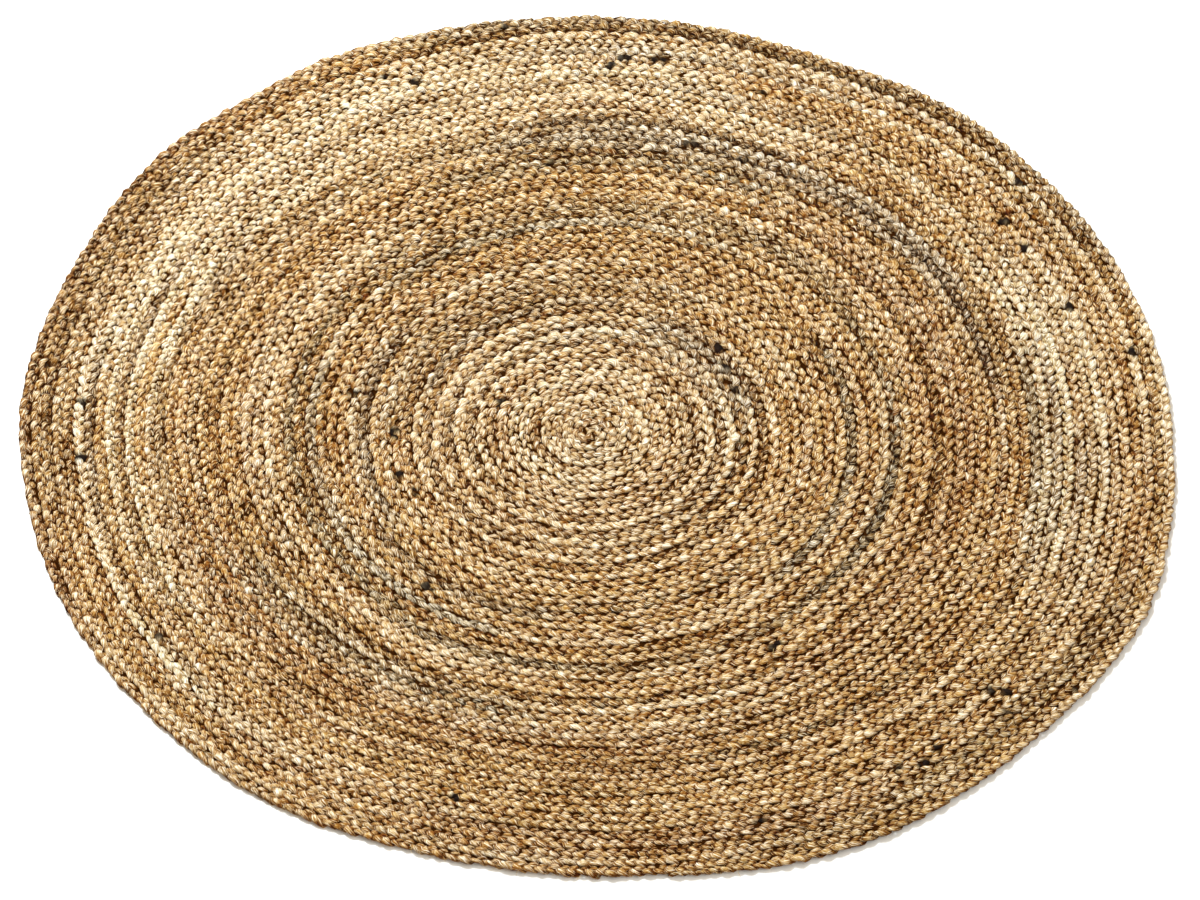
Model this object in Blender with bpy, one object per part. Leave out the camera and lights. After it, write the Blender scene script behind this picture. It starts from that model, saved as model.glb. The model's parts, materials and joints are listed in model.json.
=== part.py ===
"""Round jute rug: two flat braids, side by side, wound in a spiral and sewn.

The rug is one piece, so it is one solid. It lies on its flat underside, and its
top carries the two braids as two spiral ridges with the sewn grooves between
them. Their ends are opposite each other, in the middle and at the rim.
Lengths are in metres. X points right, Y away from the front, Z up. Bearings are
in degrees, clockwise seen from above, from +X, the way the braid is wound.
"""
import math

import bmesh
import bpy

RUG_RADIUS = 0.600          # mean radius over the outer rows
RUG_THICKNESS = 0.0080      # underside to the crest of a row
GROOVE_DEPTH = 0.0024       # crest of a row down to the seam beside it
ROWS = 53                   # rows of braid from the middle to the rim
BRAIDS = 2                  # rows by which the spiral runs out in one turn
ROW_PITCH = RUG_RADIUS / (ROWS + 0.5)
RIM_HEIGHT = 0.0040         # height of the rim's outermost line
RIM_UNDERCUT = 0.0022       # how far the underside stays inside that line
CREST_WAVE = 0.0003         # how much a row's crest rises and falls

SPOKES = 52                 # points in one turn of the spiral
HALF_TURN = SPOKES // BRAIDS
END_BEARING = 87.0          # where one braid ends at the rim; the other, opposite
TAPER_SPOKES = 2            # an outer end narrows over this many points
FIRST_LINE = -4             # grid lines that start in the middle are below 0
RIM_LINE = 2 * ROWS         # the grid's outermost line
MIDDLE_SHARE = 0.15         # nearer than this share of a row is the very middle
CENTRE_SHIFT = (-0.010, 0.0)    # the coil's middle, off the rug's own middle

# Unevenness of the rim, in which the outer rows share: a row for each bulge (+)
# or flat (-), with its bearing in degrees and its depth in millimetres.
RIM_BULGES = (
    # bearing_deg, bulge_mm
    (0, -7), (10, -1), (24, 9), (42, 2), (64, 8), (80, 0), (108, -5), (123, 1),
    (144, -4), (168, -5), (186, 1), (199, -2), (222, 8), (233, 4), (241, 7),
    (253, 0), (260, 3), (267, 6), (276, 3), (294, -6), (311, 0), (319, -3),
    (342, -6),
)

JUTE_COLOUR = (0.52, 0.33, 0.14, 1.0)
JUTE_ROUGHNESS = 0.85


def clear_scene():
    """Remove whatever objects the open file holds."""
    for obj in list(bpy.data.objects):
        bpy.data.objects.remove(obj, do_unlink=True)


def rim_bulge(bearing):
    """The rim's bulge at a bearing, in metres, eased between the table's rows."""
    bearing = bearing % 360.0
    rows = RIM_BULGES + ((RIM_BULGES[0][0] + 360, RIM_BULGES[0][1]),)
    for (start, low), (end, high) in zip(rows, rows[1:]):
        if start <= bearing < end:
            share = (bearing - start) / (end - start)
            eased = share * share * (3.0 - 2.0 * share)
            return (low + (high - low) * eased) / 1000.0
    return rows[0][1] / 1000.0


def spoke_bearing(spoke):
    """Bearing of one spoke of the spiral's grid; the first is at the braid's end."""
    return END_BEARING + 360.0 * spoke / SPOKES


def row_radius(line, spoke):
    """Radius of a grid line before the rim's unevenness, in rows.

    Even lines are seams and odd lines are crests, two to a row. Each line runs
    out by two rows in a turn. The last row of each braid narrows to nothing.
    """
    radius = line / 2.0 + BRAIDS * spoke / SPOKES
    if line > RIM_LINE - 4:
        end_spoke = HALF_TURN if line > RIM_LINE - 2 else SPOKES
        seam_line = RIM_LINE - 2 if line > RIM_LINE - 2 else RIM_LINE - 4
        left = min((end_spoke - spoke) / TAPER_SPOKES, 1.0)
        seam_radius = seam_line / 2.0 + BRAIDS * spoke / SPOKES
        radius = seam_radius + (radius - seam_radius) * left
    return radius


def rim_line(spoke):
    """The outermost grid line at a spoke: each braid is outermost for half a turn."""
    return RIM_LINE if spoke < HALF_TURN else RIM_LINE - 2


def line_height(line, spoke):
    """Height of a grid line: crests high, seams low, the outer line at the rim."""
    if line == rim_line(spoke):
        return RIM_HEIGHT
    if line % 2 == 0:
        return RUG_THICKNESS - GROOVE_DEPTH
    row_phase = 2.4 * line
    wave = math.sin(math.radians(3.0 * spoke_bearing(spoke)) + row_phase)
    return RUG_THICKNESS - CREST_WAVE * (1.0 + wave) / 2.0


def plan_point(radius, bearing):
    """A radius and bearing as X and Y, with the outer rows following the rim."""
    share = min(radius / RUG_RADIUS, 1.0)
    radius = radius + rim_bulge(bearing) * share * share
    angle = math.radians(-bearing)
    ease = 1.0 - share * share
    x = radius * math.cos(angle) + CENTRE_SHIFT[0] * ease
    y = radius * math.sin(angle) + CENTRE_SHIFT[1] * ease
    return x, y


def add_top_points(mesh):
    """Add every grid point of the top once, keyed by its line and spoke.

    Points that would lie at the very middle are one point.
    """
    x, y = plan_point(0.0, 0.0)
    middle = mesh.verts.new((x, y, RUG_THICKNESS - GROOVE_DEPTH))
    points = {}
    for spoke in range(SPOKES):
        for line in range(FIRST_LINE, rim_line(spoke) + 1):
            radius = row_radius(line, spoke)
            if radius < MIDDLE_SHARE:
                points[line, spoke] = middle
                continue
            x, y = plan_point(radius * ROW_PITCH, spoke_bearing(spoke))
            points[line, spoke] = mesh.verts.new((x, y, line_height(line, spoke)))
    return points


def grid_point(points, line, spoke):
    """A grid point; past the last spoke a line carries on two rows further out."""
    if spoke == SPOKES:
        spoke = 0
        line = line + 2 * BRAIDS
    return points[min(line, rim_line(spoke)), spoke]


def add_face(mesh, corners):
    """Add a face from its corners, leaving out any corner that repeats."""
    unique = []
    for corner in corners:
        if corner not in unique:
            unique.append(corner)
    if len(unique) >= 3:
        mesh.faces.new(unique)


def add_rows(mesh, points):
    """Cover the spiral's rows, each with a flank up to its crest and one down."""
    for spoke in range(SPOKES):
        for line in range(FIRST_LINE, rim_line(spoke)):
            add_face(mesh, (
                grid_point(points, line, spoke),
                grid_point(points, line + 1, spoke),
                grid_point(points, line + 1, spoke + 1),
                grid_point(points, line, spoke + 1),
            ))


def add_underside(mesh, points):
    """Turn the rim under and close the flat underside."""
    floor_ring = []
    for spoke in range(SPOKES):
        radius = row_radius(rim_line(spoke), spoke) * ROW_PITCH - RIM_UNDERCUT
        x, y = plan_point(radius, spoke_bearing(spoke))
        floor_ring.append(mesh.verts.new((x, y, 0.0)))
    for spoke in range(SPOKES):
        line = rim_line(spoke)
        add_face(mesh, (
            grid_point(points, line, spoke),
            grid_point(points, line, spoke + 1),
            floor_ring[(spoke + 1) % SPOKES],
            floor_ring[spoke],
        ))
    mesh.faces.new(floor_ring)


def centre_on_box(mesh):
    """Move the rug so that the middle of its own box is above the origin."""
    xs = [vert.co.x for vert in mesh.verts]
    ys = [vert.co.y for vert in mesh.verts]
    shift_x = -(min(xs) + max(xs)) / 2.0
    shift_y = -(min(ys) + max(ys)) / 2.0
    bmesh.ops.translate(mesh, verts=mesh.verts, vec=(shift_x, shift_y, 0.0))


def jute_material():
    """Plain jute: a dry, matt plant fibre."""
    material = bpy.data.materials.new("jute")
    material.use_nodes = True
    shader = material.node_tree.nodes["Principled BSDF"]
    shader.inputs["Base Color"].default_value = JUTE_COLOUR
    shader.inputs["Roughness"].default_value = JUTE_ROUGHNESS
    shader.inputs["Metallic"].default_value = 0.0
    material.diffuse_color = JUTE_COLOUR
    return material


def build_rug():
    """The whole rug, one closed solid."""
    shape = bmesh.new()
    points = add_top_points(shape)
    add_rows(shape, points)
    add_underside(shape, points)
    centre_on_box(shape)
    bmesh.ops.recalc_face_normals(shape, faces=shape.faces)
    mesh = bpy.data.meshes.new("rug")
    shape.to_mesh(mesh)
    shape.free()
    mesh.shade_smooth()
    mesh.set_sharp_from_angle(angle=math.radians(60.0))
    mesh.materials.append(jute_material())
    rug = bpy.data.objects.new("rug", mesh)
    bpy.context.scene.collection.objects.link(rug)
    return rug


def main():
    clear_scene()
    build_rug()


main()
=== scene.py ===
"""The round jute rug, dressed: two plaited braids in a flat spiral, on a pale floor.

Three strands of jute pass over and under each other along each of two braids. The
two lie side by side and are wound outwards together from the middle, so they come
by turns along any radius, and each is sewn to the other. Lengths are in metres,
unless a column says otherwise. Bearings are in degrees, clockwise seen from above,
from +X, the way the braids are wound.
"""
import json
import math

import bmesh
import bpy
import numpy as np
from bpy.props import FloatProperty, FloatVectorProperty, IntProperty, PointerProperty
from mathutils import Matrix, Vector

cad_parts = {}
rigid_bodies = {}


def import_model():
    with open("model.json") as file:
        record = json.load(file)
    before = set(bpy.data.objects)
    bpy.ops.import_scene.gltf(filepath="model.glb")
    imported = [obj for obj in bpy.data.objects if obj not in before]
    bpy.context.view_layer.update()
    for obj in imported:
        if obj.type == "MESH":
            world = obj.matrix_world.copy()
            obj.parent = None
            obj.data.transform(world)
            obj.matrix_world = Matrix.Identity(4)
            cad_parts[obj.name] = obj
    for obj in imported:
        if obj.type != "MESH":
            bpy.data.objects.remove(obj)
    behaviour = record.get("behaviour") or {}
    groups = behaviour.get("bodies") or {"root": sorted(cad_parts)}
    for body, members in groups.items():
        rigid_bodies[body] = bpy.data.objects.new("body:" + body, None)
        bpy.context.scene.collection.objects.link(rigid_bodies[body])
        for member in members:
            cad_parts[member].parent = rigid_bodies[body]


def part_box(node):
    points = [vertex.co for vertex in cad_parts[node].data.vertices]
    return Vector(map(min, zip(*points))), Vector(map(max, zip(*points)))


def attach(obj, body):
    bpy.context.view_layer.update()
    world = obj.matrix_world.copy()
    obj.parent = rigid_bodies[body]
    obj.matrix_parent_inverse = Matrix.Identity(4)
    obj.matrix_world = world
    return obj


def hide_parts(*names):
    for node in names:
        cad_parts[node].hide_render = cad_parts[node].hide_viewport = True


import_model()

bl_info = {
    "name": "Round Braided Jute Rug",
    "version": (1, 0, 0),
    "blender": (4, 5, 0),
    "location": "View3D > Sidebar > Rug",
    "description": "Plaits a round jute rug and sets it on a pale studio floor",
    "category": "Object",
}

NODE = "rug"
BODY = "root"
CAD_LOW, CAD_HIGH = (Vector(corner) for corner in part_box(NODE))
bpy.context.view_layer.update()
MM = 0.001

# Seeds of the random draws, so that every run makes the same rug. A second braid
# or strand counts on from its seed.
SEEDS = {
    "stitch_drift": 5, "stitch_jitter": 7, "row": 31, "lot": 71, "armful": 81,
    "colour": 100, "shape": 500, "loose_fibres": 909,
}

# ---------------------------------------------------------------- the coil

RUG_RADIUS = 0.600              # mean radius over the outer rows
ROWS = 53                       # rows of braid from the middle to the rim
BRAIDS = 2                      # rows by which the coil runs out in one turn
ROW_PITCH = RUG_RADIUS / (ROWS + 0.5)
BRAID_TURNS = ROWS / BRAIDS     # turns that each braid makes
START_TURN = -0.22              # a braid's inner end, just off the very middle
LAST_TURN = BRAID_TURNS - 0.01  # a braid's outer end
COURSE_POINTS = 40000           # points at which a braid's course is worked out
SPOKES = 52                     # points in one turn of the solid's outline
END_BEARING = 87.0              # where one braid ends at the rim; the other, opposite
TAPER_TURN = 2.0 / SPOKES       # share of a turn over which an outer end narrows
END_WIDTH = 0.12                # share of its width that is left at that end
CENTRE_SHIFT = -0.010           # the coil's middle, left of the rug's own middle

# The rim's bulges (+) and flats (-), in which the outer rows share.
RIM_BULGES = (
    # bearing_deg, bulge_mm
    (0, -7), (10, -1), (24, 9), (42, 2), (64, 8), (80, 0), (108, -5), (123, 1),
    (144, -4), (168, -5), (186, 1), (199, -2), (222, 8), (233, 4), (241, 7),
    (253, 0), (260, 3), (267, 6), (276, 3), (294, -6), (311, 0), (319, -3),
    (342, -6),
)

# Where hand tension lets neighbouring rows sway together: how many sways a turn,
# how far the phase moves on from one row to the next, and how deep.
ROW_SWAYS = (
    # sways_per_turn, phase_per_row, depth_mm
    (3, 0.21, 0.9), (5, -0.33, 0.7), (8, 0.47, 0.5), (13, -0.8, 0.35), (23, 1.7, 0.22),
)
ROW_JITTER = (0.004, 0.35 * MM)     # a row's own sway: over what share of a turn, how far
SWAY_STARTS_OVER = 1.0 / 6.0        # share of the radius over which the sways start,
SWAY_ENDS_OVER = 1.0 / 12.0         # and over which they die down towards the rim,
SWAY_AT_RIM = 0.15                  # to this share

# For a short run one braid was plaited the other way over, in pale fibre.
OTHER_WAY_OVER = (0, 0.898, 160.0, 198.0)       # braid, share_of_radius, from, to
OTHER_WAY_EASE = 2.5                            # degrees over which it changes

# Here the outermost row stands off the row inside it: how far each moves, in mm.
LOOSE_EDGE = (152.0, 184.0)
LOOSE_EDGE_MOVES = (-0.5, 1.1)                  # row inside, outermost row

# Length of one stitch of the plait from the middle to the rim.
STITCH_LENGTHS = (
    # share_of_radius, stitch_mm
    (0.00, 10.4), (0.08, 12.0), (0.15, 13.2), (0.45, 14.2), (0.65, 13.7), (0.80, 13.0),
    (1.00, 12.7),
)
# The second braid was plaited tighter for a while: by what share, and where it
# starts, is full, is still full and ends, in shares of the radius.
TIGHTER_BY = (0.0, 0.22)
TIGHTER_OVER = (0.62, 0.68, 0.84, 0.90)

# ---------------------------------------------------------------- the strand

STRANDS = 3
STRAND_SIDES = 6
SWING = 3.65 * MM               # a strand's way from the braid's middle to its side
LIFT = 1.6 * MM                 # a strand's rise and fall as it crosses the others
STRAND_HALF_WIDTH = 3.95 * MM
STRAND_HALF_HEIGHT = 2.05 * MM
FIBRE_TWIST = 0.60              # way that fibres wind round a strand, for each way along
BRAID_PIECES = 3                # each braid's length is cut into this many objects
# Places of a strand's rings in each half plait, closer where it shows on top.
RING_DEGREES = (44.0, 76.0, 110.0, 142.0, 178.0)
EDGE_RISE = 0.5 * MM            # rows press each other up along their seam
ROW_LEAN = 0.65 * MM            # each row's outer side lies higher than its inner one
BRAID_SINKS = (0.0, 0.35 * MM)  # the second braid is sewn a little lower
LOWEST_POINT = 0.12 * MM        # above the floor

# A strand is plumpest halfway over, and gives way where others cross it.
PLUMPNESS = 0.7                 # power that keeps it plump for most of its way
PINCHED_WIDTH = 0.22            # shares by which it is narrower and flatter there
PINCHED_HEIGHT = 0.14
EDGE_PINCH = 0.14               # share by which the next row narrows it at the side

# Unevenness of hand work: over what length along the braid, and how much.
STITCH_DRIFT = (0.500, 0.05)                    # share of a stitch's length
STITCH_JITTER = (0.050, 0.12)
PULL = (0.020, 0.07)                            # share of the swing
SLUBS = (0.012, 0.21)                           # share of a strand's width
LONG_SLUBS = (0.200, 0.07)
SLUB_LIMITS = (0.62, 1.5)
WANDER = (0.012, 0.6 * MM)                      # sideways
BUMPS = (0.011, 0.30 * MM)                      # up and down
WAVES = (0.050, 0.20 * MM)
CROSSINGS = (0.014, math.radians(9.0))          # where in the plait a strand dips
LUMPS = 0.11                                    # share, from point to point of a ring
LUMP_LIMITS = (0.6, 1.4)

# ---------------------------------------------------------------- the colours

# Natural jute, as retted and dried: named for what each lot looks like.
FIBRE = {
    "straw": "#E5DCC4",
    "gold": "#C49F60",
    "tan": "#A58650",
    "rust": "#A57430",
    "brown": "#724E1A",
    "grey": "#7D6A4B",
    "bark": "#1A0E07",
}
# The gaps' dark brown is painted shade, for jute deep between the strands.
GAP_PAINTED_SHADE_BROWN = "#2E1604"
LOOSE_FIBRE = "#E3C88E"
FLOOR_WHITE = "#FBFBFA"

# How the gold fibre's shade drifts, pale (+) or dark (-): over what length along
# the braid, and how much.
LOT_SHADE = (1.3, 0.75)         # a whole lot of fibre, in all three strands
HANK_SHADE = (0.45, 0.50)       # a hank, in one strand
ARMFUL_SHADE = (0.12, 0.35)     # what was combed at once, in all three strands
SHADE_FIBRES = (
    # fibre, share_at_mean_shade, share_for_each_step_of_shade
    ("straw", 0.10, 0.30), ("brown", -0.04, -0.26),
)
STREAK_FIBRES = (
    # fibre, share_at_mean, length_m, spread
    ("rust", -0.10, 0.22, 0.34), ("grey", -0.30, 0.35, 0.30),
)
STITCH_SHADE_LENGTH = 0.012
STITCH_FIBRES = (
    # fibre, share_for_each_step_of_shade
    ("straw", 0.08), ("brown", -0.09),
)
BRAID_BOUNCES = (0.96, 1.10)    # the second braid is of darker, richer fibre

# Lengths of other fibre that the plaiter laid in, where they lie on the rug.
FIBRE_ARCS = (
    # share_of_radius, rows_wide, from_deg, to_deg, fibre, strength
    (0.985, 1.5, 155, 235, "rust", 0.48),
    (0.960, 2.5, 168, 226, "brown", 0.34),
    (0.975, 2.0, 250, 335, "brown", 0.42),
    (0.955, 2.0, 20, 75, "tan", 0.60),
    (0.930, 2.0, 60, 110, "rust", 0.45),
    (0.898, 0.75, 138, 196, "straw", 0.52),
    (0.879, 0.4, 140, 195, "brown", 0.35),
    (0.900, 1.2, 120, 150, "straw", 0.60),
    (0.860, 2.5, 190, 285, "straw", 0.55),
    (0.800, 2.5, 205, 300, "straw", 0.50),
    (0.870, 2.0, 330, 30, "straw", 0.50),
    (0.800, 3.0, 330, 20, "straw", 0.40),
    (0.825, 0.6, 340, 25, "straw", 0.70),
    (0.800, 0.6, 345, 20, "brown", 0.35),
    (0.762, 0.6, 345, 15, "grey", 0.45),
    (0.655, 0.7, 325, 20, "rust", 0.60),
    (0.780, 0.6, 320, 20, "straw", 0.60),
    (0.850, 0.6, 150, 215, "straw", 0.60),
    (0.832, 0.6, 150, 210, "brown", 0.35),
    (0.812, 0.6, 150, 215, "straw", 0.55),
    (0.775, 0.6, 150, 210, "straw", 0.50),
    (0.755, 0.6, 160, 215, "brown", 0.35),
    (0.745, 0.6, 262, 300, "brown", 0.60),
    (0.725, 0.6, 270, 330, "straw", 0.50),
    (0.930, 0.6, 215, 300, "straw", 0.40),
    (0.905, 0.6, 255, 300, "brown", 0.35),
    (0.730, 2.5, 75, 165, "rust", 0.45),
    (0.700, 2.0, 255, 350, "brown", 0.65),
    (0.720, 1.2, 200, 260, "tan", 0.60),
    (0.640, 1.5, 100, 155, "grey", 0.50),
    (0.640, 1.5, 245, 300, "grey", 0.45),
    (0.620, 2.0, 300, 60, "rust", 0.35),
    (0.590, 1.5, 150, 240, "straw", 0.45),
    (0.528, 1.0, 325, 50, "grey", 0.62),
    (0.525, 0.9, 50, 130, "grey", 0.42),
    (0.530, 0.8, 130, 225, "grey", 0.60),
    (0.535, 1.4, 225, 325, "grey", 0.40),
    (0.480, 0.8, 110, 200, "grey", 0.50),
    (0.490, 1.0, 225, 300, "grey", 0.45),
    (0.455, 0.8, 330, 45, "grey", 0.60),
    (0.430, 1.0, 100, 150, "brown", 0.60),
    (0.385, 0.7, 150, 215, "brown", 0.60),
    (0.410, 0.6, 150, 215, "straw", 0.35),
    (0.350, 1.5, 180, 300, "brown", 0.35),
    (0.310, 0.8, 200, 280, "brown", 0.40),
    (0.280, 2.0, 290, 350, "brown", 0.55),
    (0.200, 5.0, 0, 360, "straw", 0.30),
    (0.070, 4.0, 0, 360, "straw", 0.30),
)
ARC_FALLOFF = 1.4               # how sharply an arc's sides end
ARC_EASE = 9.0                  # degrees over which its ends fade
ARC_STRENGTH = 0.85             # its mean strength, and how ragged it is along its way
ARC_RAGGED = (0.16, 0.30)

# Short ends of dark bark left in the fibre, about one stitch long each.
FLECK_LENGTH = 10.5 * MM
FLECK_WIDTH = 6.5 * MM
FLECK_END = 1.5                 # a fleck ends at this many times its half size,
FLECK_FADE = 2.0                # and fades this fast before it
FLECK_SOLID = 0.85              # how solid it is at least; it is torn here and there
BARK_FLECKS = (
    # share_of_radius, bearing_deg, stitches_long
    (0.893, 273.2, 1.2), (0.897, 277.0, 1.6), (0.870, 271.5, 0.9), (0.868, 290.0, 0.9),
    (0.896, 248.9, 1.2), (0.927, 246.2, 0.9), (0.955, 321.3, 1.3), (0.874, 325.0, 1.0),
    (0.872, 329.7, 1.2), (0.882, 340.2, 1.2), (0.958, 348.5, 1.3), (0.987, 35.6, 0.9),
    (0.904, 40.3, 1.0), (0.882, 41.3, 0.8), (0.933, 42.7, 0.7), (0.909, 51.2, 1.1),
    (0.917, 53.7, 1.2), (0.902, 56.3, 0.9), (0.570, 57.3, 1.2), (0.910, 72.7, 1.0),
    (0.895, 176.5, 0.9), (0.893, 184.5, 1.0), (0.880, 148.0, 1.0), (0.860, 106.0, 0.8),
    (0.425, 193.0, 1.0), (0.340, 180.0, 1.2), (0.345, 164.0, 1.0), (0.330, 156.0, 1.0),
    (0.300, 318.0, 1.0), (0.280, 326.0, 1.2), (0.270, 338.0, 0.9), (0.170, 205.0, 1.2),
    (0.450, 128.0, 1.2), (0.640, 263.0, 1.0), (0.700, 292.0, 1.0), (0.710, 284.0, 1.3),
)
# A few stray ends lie elsewhere: where an unevenness of this length is above a limit.
STRAY_LENGTH = 0.022
STRAY_ABOVE = 3.05
STRAY_DARKEST = 0.9
BARK_HIDES = 0.9                # share by which bark hides the fibre's streaks and their painted glints

# Painted highlight and painted shade: the fibre's colour is raised to this power,
# which deepens it and makes it richer at once. The power is low on the crests,
# painting them pale, and high in the gaps, painting them dark brown.
CREST_PAINTED_HIGHLIGHT_POWER = 0.60
GAP_PAINTED_SHADE_POWER = 2.3               # added to that, at the depth where it is darkest
DARKEST_DEPTH = 0.42            # share of the rug's thickness
DEPTH_CURVE = 1.7               # above 1, the crests stay pale for longer
FIBRE_LIMITS = (0.01, 0.95)     # no fibre is darker or paler than this
# Streaks along each strand: the fibre's own pale and dark locks, whose palest ends are also
# painted glints.
FIBRE_STREAKS_AND_PAINTED_GLINTS = (
    # width_mm, length_mm, detail, power_where_dull, power_where_pale
    (1.0, 9.0, 2.5, 2.6, 0.36),     # locks: single fibres are too fine to show
    (1.6, 2.4, 2.0, 1.3, 0.78),     # nubs: tufts and broken ends
)

# ---------------------------------------------------------------- loose fibres

LOOSE_FIBRES = 1000
FIBRE_SIDES = 3
FIBRE_TAPER = (0.7, 1.0, 1.0, 0.8, 0.35)    # of its half width, from end to end
AT_RIM = 0.22                   # share of the fibres that stand off the rim
RIM_BAND = (0.975, 0.995)       # shares of the radius between which those start,
FIELD_BAND = (0.0, 0.98)        # and between which the others do
FIBRE_REACH = (7.0 * MM, 23.0 * MM)         # least and most; most are short
FIBRE_RISE = (0.2 * MM, 1.8 * MM)           # off the crests; most lie low
FIBRE_HALF_WIDTH = (0.13 * MM, 0.23 * MM)
FIBRE_SHADE = (0.55, 1.10)      # darkest and palest, as shares of the fibre's colour
FIBRE_HEADING = 0.45            # radians off its row, to either side
RIM_HEADING = 0.5               # and further outwards at the rim
FIBRE_BEND = 0.9                # radians over its length, to either side
FIBRE_ARCH = 0.8                # share of a half wave that its rise and fall make
FIBRE_ROOT = 0.35 * MM          # below the crests
HANGS_PAST = 0.985              # share of the radius past which a fibre may hang over
HANGS_WITHIN = 4.0 * MM         # distance over which it does,
HANGS_DOWN = 3.2 * MM           # by up to this much

# ---------------------------------------------------------------- the stage

SKY_COLOUR = (1.0, 0.91, 0.78, 1.0)     # warm, so that the shaded fibre stays rich
SKY_STRENGTH = 0.72
LAMP_COLOUR = (0.90, 0.97, 1.0)         # a little cool, so that the crests stay straw
LAMPS = (
    # name, place, size_m, power_w
    ("key", (-1.45, 1.9, 3.4), 1.4, 286.0),
    ("fill", (2.6, -2.2, 3.0), 2.5, 36.0),
)
FLOOR_HALF_SIZE = 30.0
PHOTO_WIDTH = 1200              # pixels
PHOTO_LONG_AXIS = 1159.2        # pixels from side to side of the rug
CAMERA_ELEVATION = 48.2         # degrees, from the outline's height over its width
CAMERA_DISTANCE = 12.0
CAMERA_AIM = Vector((0.0036, -0.021, 0.0))      # what the middle of the photo shows
SENSOR_MM = 36.0


# ---------------------------------------------------------------- small tools

def linear(hex_code):
    """An sRGB hex colour as linear red, green and blue."""
    channels = [int(hex_code[place:place + 2], 16) / 255.0 for place in (1, 3, 5)]
    return tuple(
        value / 12.92 if value <= 0.04045 else ((value + 0.055) / 1.055) ** 2.4
        for value in channels
    )


def add_node(tree, kind, links=(), **settings):
    """Add a shader node, set its inputs or properties by name, and link it.

    Each link is (output socket, name of the input here).
    """
    node = tree.nodes.new(kind)
    for name, value in settings.items():
        if hasattr(node, name):
            setattr(node, name, value)
        else:
            node.inputs[name.replace("_", " ")].default_value = value
    for source, target in links:
        tree.links.new(source, node.inputs[target])
    return node


def eased(share):
    """A share of 0 to 1 that leaves 0 and reaches 1 gently."""
    return share * share * (3.0 - 2.0 * share)


def between(limits, share):
    """Values that lie by shares of 0 to 1 between a lower and an upper limit."""
    low, high = limits
    return low + (high - low) * share


def uneven(seed, places, spacing, spread=1.0):
    """Smooth unevenness of a given spread, changing over about one spacing."""
    places = np.asarray(places, dtype=float) / spacing
    first = math.floor(places.min()) - 1
    knots = np.random.default_rng(seed).normal(size=int(places.max()) - first + 4)
    index = np.floor(places).astype(int) - first
    share = eased(places - np.floor(places))
    return spread * (knots[index] * (1.0 - share) + knots[index + 1] * share)


def strand_seed(kind, braid, strand):
    """The first of ten seeds that one strand has for its colour or its shape."""
    return SEEDS[kind] + 40 * braid + 10 * strand


def rim_bulge(bearing):
    """The rim's bulge at an array of bearings, in metres, eased between rows."""
    rows = RIM_BULGES + ((RIM_BULGES[0][0] + 360, RIM_BULGES[0][1]),)
    starts = np.array([row[0] for row in rows], dtype=float)
    depths = np.array([row[1] for row in rows], dtype=float) * MM
    bearing = np.mod(bearing, 360.0)
    index = np.clip(np.searchsorted(starts, bearing, side="right") - 1, 0, len(rows) - 2)
    share = eased((bearing - starts[index]) / (starts[index + 1] - starts[index]))
    return depths[index] * (1.0 - share) + depths[index + 1] * share


def coil_radius(turn, line=0.5):
    """Radius after so many turns; line is 0 at a row's inner seam, 1 at its outer."""
    left = np.clip((BRAID_TURNS - turn) / TAPER_TURN, 0.0, 1.0)
    return (BRAIDS * turn + line * left) * ROW_PITCH


def coil_bearing(braid, turn):
    """Bearing of one braid after so many turns."""
    end = END_BEARING + 360.0 * braid / BRAIDS
    return np.mod(end + 360.0 * (turn - BRAID_TURNS), 360.0)


def plan(radius, bearing):
    """Radius and bearing as X and Y, with the outer rows following the rim."""
    share = np.clip(radius / RUG_RADIUS, 0.0, 1.0)
    radius = radius + rim_bulge(bearing) * share * share
    angle = np.radians(-bearing)
    x = radius * np.cos(angle) + CENTRE_SHIFT * (1.0 - share * share)
    return x, radius * np.sin(angle)


def plan_shift():
    """How far the solid was moved to stand its box's middle over the origin."""
    outermost = BRAID_TURNS - 1.0 / BRAIDS + np.arange(SPOKES // BRAIDS) / SPOKES
    turn = np.tile(outermost, BRAIDS)
    bearing = np.concatenate([coil_bearing(braid, outermost) for braid in range(BRAIDS)])
    x, y = plan(coil_radius(turn, 1.0), bearing)
    return -(x.min() + x.max()) / 2.0, -(y.min() + y.max()) / 2.0


SHIFT = plan_shift()


def frame_of(line):
    """Unit vectors to the right of a line of points and over it."""
    ahead = np.gradient(line, axis=-2)
    ahead = ahead / np.linalg.norm(ahead, axis=-1, keepdims=True)
    side = np.cross(ahead, np.array((0.0, 0.0, 1.0)))
    side = side / np.linalg.norm(side, axis=-1, keepdims=True)
    return side, np.cross(side, ahead)


def round_angles(sides):
    """Angles of a ring's points, from its underside round by the left to its top."""
    return np.radians(-90.0 - 360.0 * np.arange(sides) / sides)


def hand_in(piece, material):
    """Give a finished piece its finish and its body."""
    piece.data.materials.clear()
    piece.data.materials.append(material)
    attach(piece, BODY)


def join_pieces(parts, name):
    """Join meshes with the same layers into one object."""
    context = bpy.context
    with context.temp_override(
            active_object=parts[0], object=parts[0],
            selected_objects=parts, selected_editable_objects=parts):
        bpy.ops.object.join()
    parts[0].name = name
    parts[0].data.name = name
    return parts[0]


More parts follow.
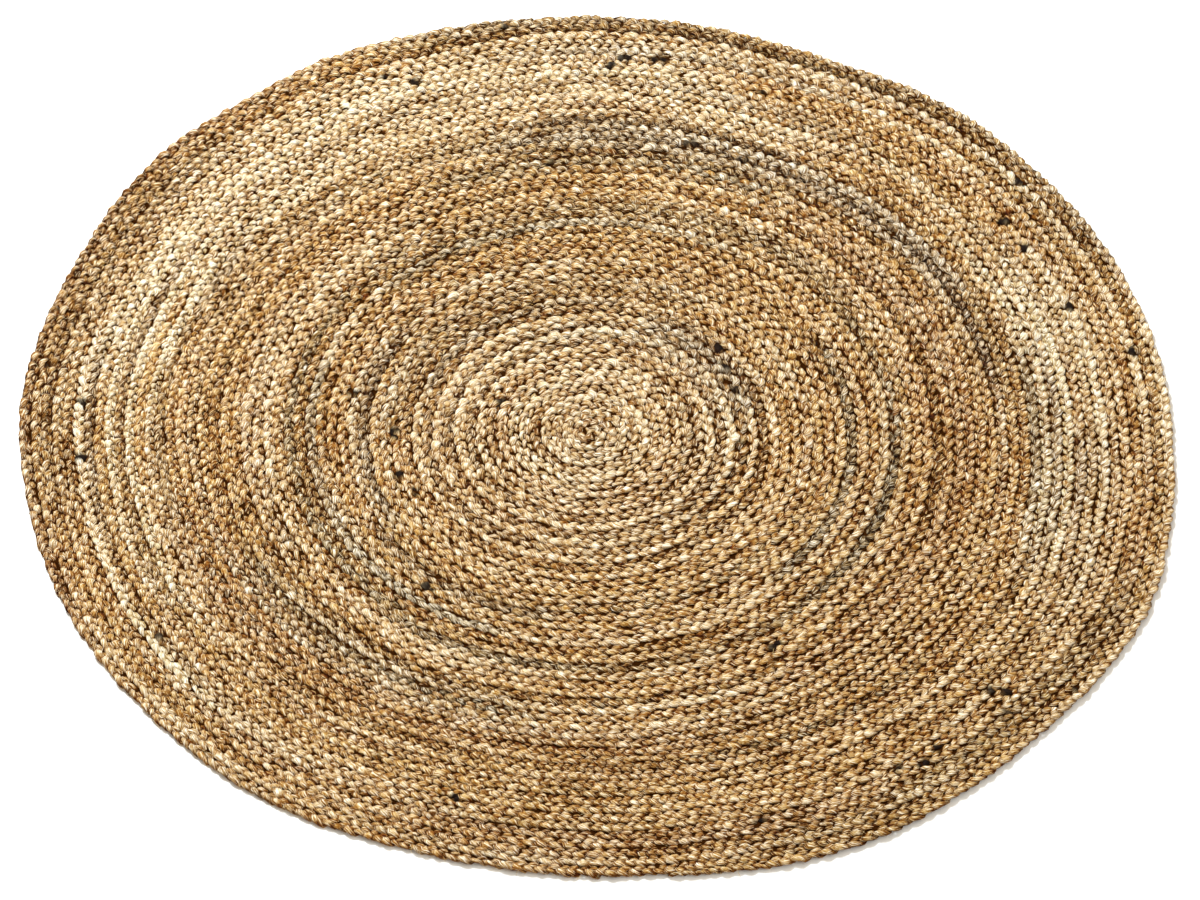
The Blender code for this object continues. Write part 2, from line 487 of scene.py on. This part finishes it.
def mesh_from_rings(name, rings, around, along):
    """Join rings of points into closed tubes, as one object.

    No operator sweeps a tube whose every ring has its own place, size and lumps,
    so the walls are laid between the rings here. rings is (tubes, rings in each,
    sides, 3). around and along give each ring's places in the fibre's own map:
    around is the girth at each ring, and the fibres wind round it as they go.
    """
    tubes, length, sides = rings.shape[:3]
    mesh = bpy.data.meshes.new(name)
    corner = np.arange(tubes * length * sides).reshape(tubes, length, sides)
    turned = np.roll(corner, -1, axis=2)
    walls = np.stack(
        (corner[:, :-1], turned[:, :-1], turned[:, 1:], corner[:, 1:]), axis=-1
    ).reshape(-1, 4)
    caps = np.concatenate((corner[:, 0, ::-1], corner[:, -1, :]))
    loops = np.concatenate((walls.ravel(), caps.ravel())).astype(np.int32)
    sizes = np.concatenate((np.full(len(walls), 4), np.full(len(caps), sides)))
    mesh.vertices.add(corner.size)
    mesh.vertices.foreach_set("co", rings.reshape(-1).astype(np.float32))
    mesh.loops.add(len(loops))
    mesh.loops.foreach_set("vertex_index", loops)
    mesh.polygons.add(len(sizes))
    offsets = np.concatenate(((0,), np.cumsum(sizes)[:-1])).astype(np.int32)
    mesh.polygons.foreach_set("loop_start", offsets)
    mesh.update(calc_edges=True)
    side = np.arange(sides) / sides
    twisted = FIBRE_TWIST * along[:, :, None]
    low = around[:, :, None] * side - twisted
    high = around[:, :, None] * (side + 1.0 / sides) - twisted
    far = np.broadcast_to(along[:, :, None], low.shape)
    wall_map = np.stack((
        np.stack((low[:, :-1], far[:, :-1]), axis=-1),
        np.stack((high[:, :-1], far[:, :-1]), axis=-1),
        np.stack((high[:, 1:], far[:, 1:]), axis=-1),
        np.stack((low[:, 1:], far[:, 1:]), axis=-1),
    ), axis=-2).reshape(-1, 2)
    cap_map = np.zeros((caps.size, 2))
    layer = mesh.uv_layers.new(name="fibre")
    layer.data.foreach_set(
        "uv", np.concatenate((wall_map, cap_map)).reshape(-1).astype(np.float32))
    mesh.shade_smooth()
    mesh.validate()
    piece = bpy.data.objects.new(name, mesh)
    bpy.context.scene.collection.objects.link(piece)
    return piece


def paint_tint(piece, colours, fibre_share=1.0):
    """Store a colour for each point, and how far its fibres show their streaks and painted
    glints.
    """
    layer = piece.data.color_attributes.new("tint", "FLOAT_COLOR", "POINT")
    filled = np.ones((len(colours), 4), dtype=np.float32)
    filled[:, :3] = colours
    filled[:, 3] = fibre_share
    layer.data.foreach_set("color", filled.reshape(-1))


# ---------------------------------------------------------------- fibre colours and painted shade

def bearing_window(bearing, start, end, ease):
    """1 between two bearings and 0 outside, easing over some degrees at each end."""
    span = (end - start) % 360.0 or 360.0
    if span == 360.0:
        return np.ones_like(bearing)
    past = np.mod(bearing - start, 360.0)
    inside = np.minimum(past, span - past)
    inside = np.where(past > span, -np.minimum(past - span, 360.0 - past), inside)
    return np.clip(0.5 + inside / ease, 0.0, 1.0)


def blend_in(colours, fibre, share):
    """Move colours towards a named fibre by a share of 0 to 1."""
    share = np.clip(share, 0.0, 1.0)[:, None]
    return colours * (1.0 - share) + np.array(linear(FIBRE[fibre])) * share


def rows_from_arc(share, bearing, centre, start, end):
    """How many rows a place is from the row that lies nearest to an arc's middle."""
    middle = start + 0.5 * ((end - start) % 360.0 or 360.0)
    wound = BRAIDS * np.mod(middle - END_BEARING, 360.0) / 360.0
    row = math.floor(centre * RUG_RADIUS / ROW_PITCH - wound) + 0.5 + wound
    past = np.mod(bearing - middle + 180.0, 360.0) - 180.0
    return share * RUG_RADIUS / ROW_PITCH - row - BRAIDS * past / 360.0


def strand_colours(braid, strand, length, turn):
    """Colour of one strand at places along its braid, before its own shading."""
    radius_share = coil_radius(turn) / RUG_RADIUS
    bearing = coil_bearing(braid, turn)
    seed = strand_seed("colour", braid, strand)
    colours = np.tile(np.array(linear(FIBRE["gold"])), (len(length), 1))
    shade = uneven(SEEDS["lot"] + braid, length, *LOT_SHADE)
    shade = shade + uneven(seed, length, *HANK_SHADE)
    shade = shade + uneven(SEEDS["armful"] + braid, length, *ARMFUL_SHADE)
    for fibre, mean, step in SHADE_FIBRES:
        colours = blend_in(colours, fibre, step * shade + mean)
    for place, (fibre, mean, spacing, spread) in enumerate(STREAK_FIBRES, start=1):
        colours = blend_in(colours, fibre, uneven(seed + place, length, spacing, spread) + mean)
    ragged = ARC_STRENGTH + uneven(seed + 3, length, *ARC_RAGGED)
    for centre, rows, start, end, fibre, strength in FIBRE_ARCS:
        off = rows_from_arc(radius_share, bearing, centre, start, end)
        near = np.exp(-(off / rows) ** 2 * ARC_FALLOFF)
        window = bearing_window(bearing, start, end, ARC_EASE)
        colours = blend_in(colours, fibre, strength * near * window * ragged)
    stitch_shade = uneven(seed + 4, length, STITCH_SHADE_LENGTH)
    for fibre, step in STITCH_FIBRES:
        colours = blend_in(colours, fibre, step * stitch_shade)
    return np.clip(colours, 0.0, 1.0) ** BRAID_BOUNCES[braid]


def fleck_share(seed, length, radius, bearing):
    """How much dark bark shows at places along one strand."""
    stray = uneven(seed, length, STRAY_LENGTH)
    dark = np.clip((stray - STRAY_ABOVE) * FLECK_FADE, 0.0, STRAY_DARKEST)
    for share, at, stitches in BARK_FLECKS:
        off = np.radians(np.mod(bearing - at + 180.0, 360.0) - 180.0) * radius
        along = np.abs(off) / (stitches * 0.5 * FLECK_LENGTH)
        aside = np.abs(radius - share * RUG_RADIUS) / (0.5 * FLECK_WIDTH)
        near = np.clip((FLECK_END - np.hypot(along, aside)) * FLECK_FADE, 0.0, 1.0)
        dark = np.maximum(dark, near)
    return dark


def paint_depth_shade_and_bark(points, colours, dark):
    """Paint shade into a strand's colour by depth, and lay the dark bark over it.

    A painted highlight leaves the crests pale; painted shade makes the gaps rich
    brown. The underside gets the same painted shade as the top, by how deep it lies
    from its own face.
    """
    height = points[:, :, 2] / CAD_HIGH.z
    from_face = np.minimum(1.0 - height, height)
    depth = np.clip(from_face / DARKEST_DEPTH, 0.0, 1.0)[:, :, None]
    # Painted shade: the deeper below its face, the higher the power, from pale crests to dark
    # gaps.
    colour_power = CREST_PAINTED_HIGHLIGHT_POWER + GAP_PAINTED_SHADE_POWER * depth ** DEPTH_CURVE
    shaded = np.clip(colours, *FIBRE_LIMITS)[:, None, :] ** colour_power
    share = dark[:, :, None]
    return np.clip(shaded * (1.0 - share) + np.array(linear(FIBRE["bark"])) * share, 0.0, 1.0)


# ---------------------------------------------------------------- the braid

def braid_course(braid):
    """A braid's middle line as fine tables: turns, length and plait angle."""
    turn = np.linspace(START_TURN, LAST_TURN, COURSE_POINTS)
    radius = np.maximum(coil_radius(turn), 0.0)
    length = np.concatenate(((0.0,), np.cumsum(
        0.5 * (radius[1:] + radius[:-1]) * 2.0 * math.pi * np.diff(turn))))
    shares = np.array([row[0] for row in STITCH_LENGTHS])
    stitches = np.array([row[1] for row in STITCH_LENGTHS]) * MM
    stitch = np.interp(radius / RUG_RADIUS, shares, stitches)
    tighter = np.interp(radius / RUG_RADIUS, TIGHTER_OVER, (0.0, 1.0, 1.0, 0.0))
    stitch = stitch * (1.0 - TIGHTER_BY[braid] * tighter)
    stitch = stitch * (1.0 + uneven(SEEDS["stitch_drift"] + braid, length, *STITCH_DRIFT))
    stitch = stitch * (1.0 + uneven(SEEDS["stitch_jitter"] + braid, length, *STITCH_JITTER))
    plait = np.concatenate(((0.0,), np.cumsum(
        2.0 * math.pi * np.diff(length) / (STRANDS * 0.5 * (stitch[1:] + stitch[:-1])))))
    return turn, length, plait


def row_sway(braid, turn):
    """How far a row lies off its own spiral line."""
    bearing = np.radians(coil_bearing(braid, turn))
    row = coil_radius(turn) / ROW_PITCH
    share = np.clip(row * ROW_PITCH / RUG_RADIUS, 0.0, 1.0)
    sway = np.zeros_like(turn)
    for sways, phase_per_row, depth in ROW_SWAYS:
        sway = sway + depth * MM * np.sin(sways * bearing + phase_per_row * row + sways)
    sway = sway + uneven(SEEDS["row"] + braid, turn * share, *ROW_JITTER)
    sway = sway * np.clip((1.0 - share) / SWAY_ENDS_OVER, SWAY_AT_RIM, 1.0)
    sway = sway * np.clip(share / SWAY_STARTS_OVER, 0.0, 1.0)
    loose = bearing_window(coil_bearing(braid, turn), *LOOSE_EDGE, ARC_EASE)
    return sway + loose * (row > ROWS - BRAIDS) * LOOSE_EDGE_MOVES[braid] * MM


def way_over(braid, turn):
    """1 where the strands cross as usual, and -1 where they cross the other way."""
    which, centre, start, end = OTHER_WAY_OVER
    if braid != which:
        return np.ones_like(turn)
    near = np.abs(coil_radius(turn) / RUG_RADIUS - centre) < 0.5 * ROW_PITCH / RUG_RADIUS
    window = bearing_window(coil_bearing(braid, turn), start, end, OTHER_WAY_EASE)
    return 1.0 - 2.0 * near * window


def ring_places(strand, course):
    """Where one strand's rings are: plait angle, length along the braid, and turn."""
    turns, lengths, plaits = course
    offset = 2.0 * math.pi * strand / STRANDS
    halves = int((plaits[-1] + offset) / math.pi) + 1
    degrees = np.array(RING_DEGREES)[None, :] + 180.0 * np.arange(-1, halves)[:, None]
    phase = np.radians(degrees.ravel())
    phase = phase[(phase - offset >= 0.0) & (phase - offset <= plaits[-1])]
    length = np.interp(phase - offset, plaits, lengths)
    return phase, length, np.interp(length, lengths, turns)


def strand_rings(braid, strand, course, sizes):
    """One strand's rings of points, with their girths, places and colours."""
    phase, length, turn = ring_places(strand, course)
    seed = strand_seed("shape", braid, strand)
    slub = 1.0 + uneven(seed + 1, length, *SLUBS) + uneven(seed + 2, length, *LONG_SLUBS)
    slub = np.clip(slub, *SLUB_LIMITS)
    across = sizes.swing * (1.0 + uneven(seed, length, *PULL)) * np.sin(phase)
    across = across + uneven(seed + 3, length, *WANDER)
    at_edge = np.abs(np.sin(phase)) ** 4
    crossing = 2.0 * phase + uneven(seed + 6, length, *CROSSINGS)
    height = EDGE_RISE * at_edge - sizes.lift * way_over(braid, turn) * np.sin(crossing)
    height = height + ROW_LEAN * np.sin(phase) - BRAID_SINKS[braid]
    height = height + uneven(seed + 4, length, *BUMPS) + uneven(seed + 5, length, *WAVES)
    narrow = np.clip((BRAID_TURNS - turn) / TAPER_TURN, END_WIDTH, 1.0)
    radius = coil_radius(turn) + row_sway(braid, turn) + across * narrow
    x, y = plan(np.maximum(radius, 0.0), coil_bearing(braid, turn))
    line = np.stack((x + SHIFT[0], y + SHIFT[1], CAD_HIGH.z / 2.0 + height), axis=-1)
    side, over = frame_of(line)
    pinched = 1.0 - np.abs(np.sin(2.0 * phase)) ** PLUMPNESS
    half_width = sizes.strand_half_width * slub * (1.0 - EDGE_PINCH * at_edge) * narrow
    half_width = half_width * (1.0 - PINCHED_WIDTH * pinched)
    half_height = sizes.strand_half_height * 0.5 * (1.0 + slub)
    half_height = half_height * (1.0 - PINCHED_HEIGHT * pinched)
    angles = round_angles(STRAND_SIDES)
    ring_shape = (len(length), STRAND_SIDES)
    lumps = 1.0 + LUMPS * np.random.default_rng(seed + 7).normal(size=ring_shape)
    lumps = np.clip(lumps, *LUMP_LIMITS)
    points = (
        line[:, None, :]
        + side[:, None, :] * (lumps * half_width[:, None] * np.cos(angles))[:, :, None]
        + over[:, None, :] * (lumps * half_height[:, None] * np.sin(angles))[:, :, None]
    )
    points[:, :, 2] = np.maximum(points[:, :, 2], LOWEST_POINT)
    girth = 2.0 * math.pi * np.sqrt((half_width ** 2 + half_height ** 2) / 2.0)
    torn = np.random.default_rng(seed + 8).random(ring_shape)
    dark = fleck_share(seed + 9, length, radius, coil_bearing(braid, turn))
    dark = dark[:, None] * np.clip(FLECK_SOLID + torn, 0.0, 1.0)
    return points, girth, length, strand_colours(braid, strand, length, turn), dark


def cut_strand(strand, values, ends):
    """Make the length of one strand that lies between two lengths along its braid."""
    points, girth, length, colours, dark = values
    first = max(int(np.searchsorted(length, ends[0])) - 1, 0)
    take = slice(first, int(np.searchsorted(length, ends[1])) + 1)
    own_fibre = 7.0 * strand    # so that no two strands show the same fibres
    piece = mesh_from_rings(
        "strand", points[None, take], girth[None, take], length[None, take] + own_fibre)
    fibre_share = (1.0 - BARK_HIDES * dark[take]).reshape(-1)
    # The stored colour holds painted shade in the gaps and a painted highlight on the crests.
    shaded = paint_depth_shade_and_bark(points[take], colours[take], dark[take])
    paint_tint(piece, shaded.reshape(-1, 3), fibre_share)
    return piece


# ---------------------------------------------------------------- the finishes

def jute_strand_material(colours):
    """Jute roving: combed plant fibre, loosely twisted and left undyed.

    The eye sees pale and brown locks of fibre winding along each strand, dusty
    and matt, with hardly any shine on the crests. The palest streaks are also
    painted glints for the fibre's sheen, and its tint holds painted shade and highlight.
    """
    material = bpy.data.materials.new("jute_roving")
    material.use_nodes = True
    tree = material.node_tree
    shader = tree.nodes["Principled BSDF"]
    place = add_node(tree, "ShaderNodeUVMap", uv_map="fibre")
    tint = add_node(tree, "ShaderNodeVertexColor", layer_name="tint")
    reliefs = []
    shades = []
    # Streaks: the fibre's own locks, whose palest ends are also painted glints.
    for width, length, detail, dull, pale in FIBRE_STREAKS_AND_PAINTED_GLINTS:
        stretched = add_node(
            tree, "ShaderNodeMapping", links=((place.outputs["UV"], "Vector"),),
            Scale=(1.0 / (width * MM), 1.0 / (length * MM), 1.0))
        fibres = add_node(
            tree, "ShaderNodeTexNoise", links=((stretched.outputs["Vector"], "Vector"),),
            noise_dimensions="2D", Scale=1.0, Detail=detail, Roughness=0.6)
        colour_power = add_node(
            tree, "ShaderNodeMapRange", links=((fibres.outputs["Fac"], "Value"),),
            From_Min=0.36, From_Max=0.64, To_Min=dull, To_Max=pale)
        reliefs.append(fibres.outputs["Fac"])
        shades.append(colour_power.outputs["Result"])
    both = add_node(
        tree, "ShaderNodeMath", operation="MULTIPLY",
        links=((shades[0], 0), (shades[1], 1)))
    shown = add_node(
        tree, "ShaderNodeMapRange",
        links=((tint.outputs["Alpha"], "Value"), (both.outputs["Value"], "To Max")),
        From_Min=0.0, From_Max=1.0, To_Min=1.0)
    body = add_node(
        tree, "ShaderNodeGamma",
        links=((tint.outputs["Color"], "Color"), (shown.outputs["Result"], "Gamma")))
    tree.links.new(body.outputs["Color"], shader.inputs["Base Color"])
    relief = add_node(
        tree, "ShaderNodeMath", operation="ADD",
        links=((reliefs[0], 0), (reliefs[1], 1)))
    ridges = add_node(
        tree, "ShaderNodeBump", links=((relief.outputs["Value"], "Height"),),
        Strength=1.0, Distance=1.0 * MM)
    tree.links.new(ridges.outputs["Normal"], shader.inputs["Normal"])
    shader.inputs["Roughness"].default_value = colours.roughness
    shader.inputs["Specular IOR Level"].default_value = 0.06
    return material


def jute_gap_shade_material(colours):
    """Packed jute inside the braids: brown fibre that light hardly reaches, painted dark as its
    shade.
    """
    material = bpy.data.materials.new("packed_jute_painted_shade")
    material.use_nodes = True
    tree = material.node_tree
    shader = tree.nodes["Principled BSDF"]
    clump_width = 3.0 * MM
    place = add_node(tree, "ShaderNodeTexCoord")
    clumps = add_node(
        tree, "ShaderNodeTexNoise", links=((place.outputs["Object"], "Vector"),),
        Scale=1.0 / clump_width, Detail=4.0, Roughness=0.7)
    shade = add_node(
        tree, "ShaderNodeMapRange", links=((clumps.outputs["Fac"], "Value"),),
        From_Min=0.3, From_Max=0.7, To_Min=0.4, To_Max=1.3)
    colour = add_node(
        tree, "ShaderNodeVectorMath", operation="SCALE",
        links=((shade.outputs["Result"], "Scale"),))
    # Painted shade, uneven in clumps.
    colour.inputs[0].default_value = tuple(colours.gap)
    tree.links.new(colour.outputs["Vector"], shader.inputs["Base Color"])
    shader.inputs["Roughness"].default_value = 0.95
    shader.inputs["Specular IOR Level"].default_value = 0.0
    return material


# ---------------------------------------------------------------- settings

class RugSizes(bpy.types.PropertyGroup):
    """Sizes of the plait, in metres."""
    swing: FloatProperty(
        name="Swing", description="From the braid's middle to a strand at its side",
        default=SWING, min=0.001, max=0.02, unit="LENGTH")
    lift: FloatProperty(
        name="Lift", description="Rise and fall of a strand as it crosses the others",
        default=LIFT, min=0.0, max=0.01, unit="LENGTH")
    strand_half_width: FloatProperty(
        name="Strand half width", description="Half the width of one strand",
        default=STRAND_HALF_WIDTH, min=0.0005, max=0.01, unit="LENGTH")
    strand_half_height: FloatProperty(
        name="Strand half height", description="Half the thickness of one strand",
        default=STRAND_HALF_HEIGHT, min=0.0005, max=0.01, unit="LENGTH")
    loose_fibres: IntProperty(
        name="Loose fibres", description="Single fibres that stand off the braid",
        default=LOOSE_FIBRES, min=0, max=4000)


class RugColours(bpy.types.PropertyGroup):
    """Colours and finish of the jute and the studio."""
    # Painted shade: the colour of the packed ground between the strands.
    gap: FloatVectorProperty(
        name="Gap", description="Packed fibre seen between the strands",
        subtype="COLOR", size=3, min=0.0, max=1.0, default=linear(GAP_PAINTED_SHADE_BROWN))
    fibre: FloatVectorProperty(
        name="Loose fibre", description="Single fibres on the surface",
        subtype="COLOR", size=3, min=0.0, max=1.0, default=linear(LOOSE_FIBRE))
    roughness: FloatProperty(
        name="Roughness", description="Roughness of the jute",
        default=0.62, min=0.0, max=1.0, subtype="FACTOR")
    floor: FloatVectorProperty(
        name="Floor", description="The pale floor",
        subtype="COLOR", size=3, min=0.0, max=1.0, default=linear(FLOOR_WHITE))


# ---------------------------------------------------------------- operators

class RUG_OT_ground(bpy.types.Operator):
    """Make the sheet of packed fibre and sewing that shows between the strands, dark with
    painted shade
    """
    bl_idname = "rug.ground"
    bl_label = "Packed ground"

    def execute(self, context):
        thickness = 2.0 * MM
        inset = 4.5 * MM            # so that the outermost braid hides its edge
        segments = 240
        shape = bmesh.new()
        bmesh.ops.create_circle(
            shape, cap_ends=True, segments=segments, radius=RUG_RADIUS)
        shape.verts.ensure_lookup_table()
        bearing = np.array([
            -math.degrees(math.atan2(vert.co.y, vert.co.x)) for vert in shape.verts])
        past_end = np.mod(bearing - END_BEARING, 360.0 / BRAIDS) / 360.0
        turn = BRAID_TURNS - 1.0 / BRAIDS + past_end
        x, y = plan(coil_radius(turn, 1.0) - inset, bearing)
        for vert, east, north in zip(shape.verts, x, y):
            vert.co = (east + SHIFT[0], north + SHIFT[1], CAD_HIGH.z / 2 - thickness / 2)
        shape.faces.ensure_lookup_table()
        rim = bmesh.ops.extrude_face_region(shape, geom=shape.faces[:])
        raised = [item for item in rim["geom"] if isinstance(item, bmesh.types.BMVert)]
        bmesh.ops.translate(shape, verts=raised, vec=(0.0, 0.0, thickness))
        bmesh.ops.recalc_face_normals(shape, faces=shape.faces)
        mesh = bpy.data.meshes.new("packed_ground_painted_shade")
        shape.to_mesh(mesh)
        shape.free()
        ground = bpy.data.objects.new("packed_ground_painted_shade", mesh)
        context.scene.collection.objects.link(ground)
        hand_in(ground, jute_gap_shade_material(context.scene.rug_colours))
        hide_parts(NODE)
        return {"FINISHED"}


class RUG_OT_braid(bpy.types.Operator):
    """Plait both braids of three strands and wind them out from the middle"""
    bl_idname = "rug.braid"
    bl_label = "Braids"

    def execute(self, context):
        sizes = context.scene.rug_sizes
        material = jute_strand_material(context.scene.rug_colours)
        for braid in range(BRAIDS):
            course = braid_course(braid)
            strands = [
                strand_rings(braid, strand, course, sizes) for strand in range(STRANDS)]
            cuts = np.linspace(0.0, course[1][-1], BRAID_PIECES + 1)
            for number in range(BRAID_PIECES):
                ends = cuts[number:number + 2]
                lengths = [
                    cut_strand(strand, values, ends) for strand, values in enumerate(strands)]
                piece = join_pieces(lengths, f"braid_{'ab'[braid]}_{number + 1}")
                hand_in(piece, material)
                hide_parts(NODE)
        return {"FINISHED"}


class RUG_OT_loose_fibres(bpy.types.Operator):
    """Lay single fibres over the rows, where jute always sheds a little"""
    bl_idname = "rug.loose_fibres"
    bl_label = "Loose fibres"

    def execute(self, context):
        count = context.scene.rug_sizes.loose_fibres
        rng = np.random.default_rng(SEEDS["loose_fibres"])
        line = self.fibre_lines(count, rng)
        side, over = frame_of(line)
        half = between(FIBRE_HALF_WIDTH, rng.random(count))[:, None] * np.array(FIBRE_TAPER)
        angles = round_angles(FIBRE_SIDES)
        rings = (
            line[:, :, None, :]
            + side[:, :, None, :] * (half[:, :, None] * np.cos(angles))[..., None]
            + over[:, :, None, :] * (half[:, :, None] * np.sin(angles))[..., None]
        )
        girth = 6.0 * half
        along = 20.0 * np.cumsum(half, axis=1)
        piece = mesh_from_rings("loose_fibres", rings, girth, along)
        base = np.array(context.scene.rug_colours.fibre)
        shade = between(FIBRE_SHADE, rng.random(count))
        colours = np.clip(base[None, :] * shade[:, None], 0.0, 1.0)
        paint_tint(piece, np.repeat(colours, len(FIBRE_TAPER) * FIBRE_SIDES, axis=0))
        hand_in(piece, bpy.data.materials["jute_roving"])
        return {"FINISHED"}

    def fibre_lines(self, count, rng):
        """Middle lines of the fibres: most along the rows, a few off the rim.

        Each bends a little and stands off the crests. Near the rim it may hang
        over the side.
        """
        steps = len(FIBRE_TAPER)
        at_rim = rng.random(count) < AT_RIM
        share = np.sqrt(rng.random(count))
        start = np.where(at_rim, between(RIM_BAND, share), between(FIELD_BAND, share))
        radius = RUG_RADIUS * start
        bearing = rng.random(count) * 360.0
        reach = between(FIBRE_REACH, rng.random(count) ** 2)
        heading = rng.normal(scale=FIBRE_HEADING, size=count)
        heading = heading + np.where(at_rim, RIM_HEADING, 0.0)
        bend = rng.normal(scale=FIBRE_BEND, size=count)
        step = np.linspace(0.0, 1.0, steps)[None, :]
        turned = heading[:, None] + bend[:, None] * step
        along = np.cumsum(np.cos(turned), axis=1) * reach[:, None] / steps
        out = np.cumsum(np.sin(turned), axis=1) * reach[:, None] / steps
        radii = np.maximum(radius[:, None] + out, 0.002)
        bearings = bearing[:, None] + np.degrees(along / radii)
        lifted = between(FIBRE_RISE, rng.random(count)[:, None] ** 2)
        rise = lifted * np.sin(math.pi * step * FIBRE_ARCH)
        past_rim = np.clip((RUG_RADIUS * HANGS_PAST - radii) / HANGS_WITHIN, -1.0, 0.0)
        drop = past_rim * HANGS_DOWN * rng.random(count)[:, None]
        x, y = plan(radii, bearings)
        z = CAD_HIGH.z - FIBRE_ROOT + rise + drop
        return np.stack((x + SHIFT[0], y + SHIFT[1], z), axis=-1)


class RUG_OT_sheet(bpy.types.Operator):
    """Gather every braid piece and the loose fibres into a list, which nothing uses"""
    bl_idname = "rug.sheet"
    bl_label = "Flat size"

    def execute(self, context):
        rest = [
            bpy.data.objects[f"braid_{letter}_{number + 1}"]
            for letter in "ab" for number in range(BRAID_PIECES)]
        rest.append(bpy.data.objects["loose_fibres"])
        return {"FINISHED"}


class RUG_OT_stage(bpy.types.Operator):
    """Set the pale floor, soft studio lights and the camera"""
    bl_idname = "rug.stage"
    bl_label = "Stage"

    def execute(self, context):
        shape = bmesh.new()
        bmesh.ops.create_grid(shape, x_segments=1, y_segments=1, size=FLOOR_HALF_SIZE)
        mesh = bpy.data.meshes.new("floor")
        shape.to_mesh(mesh)
        shape.free()
        floor = bpy.data.objects.new("floor", mesh)
        context.scene.collection.objects.link(floor)
        material = bpy.data.materials.new("matt_white_floor")
        material.use_nodes = True
        shader = material.node_tree.nodes["Principled BSDF"]
        shader.inputs["Base Color"].default_value = (*context.scene.rug_colours.floor, 1.0)
        shader.inputs["Roughness"].default_value = 0.9
        mesh.materials.append(material)
        self.add_lights(context)
        self.add_camera(context)
        return {"FINISHED"}

    def add_lights(self, context):
        """A broad key light from the back left, a weak fill and a warm sky."""
        world = bpy.data.worlds.new("studio")
        world.use_nodes = True
        sky = world.node_tree.nodes["Background"]
        sky.inputs["Color"].default_value = SKY_COLOUR
        sky.inputs["Strength"].default_value = SKY_STRENGTH
        context.scene.world = world
        for name, place, size, power in LAMPS:
            lamp = bpy.data.lights.new(name, "AREA")
            lamp.shape = "SQUARE"
            lamp.size = size
            lamp.energy = power
            lamp.color = LAMP_COLOUR
            light = bpy.data.objects.new(name, lamp)
            light.location = place
            light.rotation_euler = (-Vector(place)).to_track_quat("-Z", "Y").to_euler()
            context.scene.collection.objects.link(light)

    def add_camera(self, context):
        """A long lens, looking down at the angle that the rug's outline gives."""
        elevation = math.radians(CAMERA_ELEVATION)
        frame_width = 2.0 * RUG_RADIUS * PHOTO_WIDTH / PHOTO_LONG_AXIS
        data = bpy.data.cameras.new("camera")
        data.sensor_width = SENSOR_MM
        data.lens = SENSOR_MM * CAMERA_DISTANCE / frame_width
        data.clip_end = 100.0
        back = Vector((0.0, -math.cos(elevation), math.sin(elevation)))
        camera = bpy.data.objects.new("camera", data)
        camera.location = CAMERA_AIM + back * CAMERA_DISTANCE
        camera.rotation_euler = (-back).to_track_quat("-Z", "Y").to_euler()
        context.scene.collection.objects.link(camera)
        context.scene.camera = camera
        context.scene.view_settings.view_transform = "Standard"


class RUG_PT_panel(bpy.types.Panel):
    """Everything that makes the rug, in the order in which it is made"""
    bl_idname = "RUG_PT_panel"
    bl_label = "Round jute rug"
    bl_space_type = "VIEW_3D"
    bl_region_type = "UI"
    bl_category = "Rug"

    def draw(self, context):
        for group in (context.scene.rug_sizes, context.scene.rug_colours):
            for name in group.__annotations__:
                self.layout.prop(group, name)
        for operator in OPERATORS:
            self.layout.operator(operator.bl_idname)


OPERATORS = (RUG_OT_ground, RUG_OT_braid, RUG_OT_loose_fibres, RUG_OT_sheet, RUG_OT_stage)
CLASSES = (RugSizes, RugColours, *OPERATORS, RUG_PT_panel)


def register():
    for cls in CLASSES:
        bpy.utils.register_class(cls)
    bpy.types.Scene.rug_sizes = PointerProperty(type=RugSizes)
    bpy.types.Scene.rug_colours = PointerProperty(type=RugColours)


def unregister():
    del bpy.types.Scene.rug_colours
    del bpy.types.Scene.rug_sizes
    for cls in reversed(CLASSES):
        bpy.utils.unregister_class(cls)


def main():
    register()
    bpy.ops.rug.ground()
    bpy.ops.rug.braid()
    bpy.ops.rug.loose_fibres()
    bpy.ops.rug.sheet()
    bpy.ops.rug.stage()


if __name__ == "__main__":
    main()
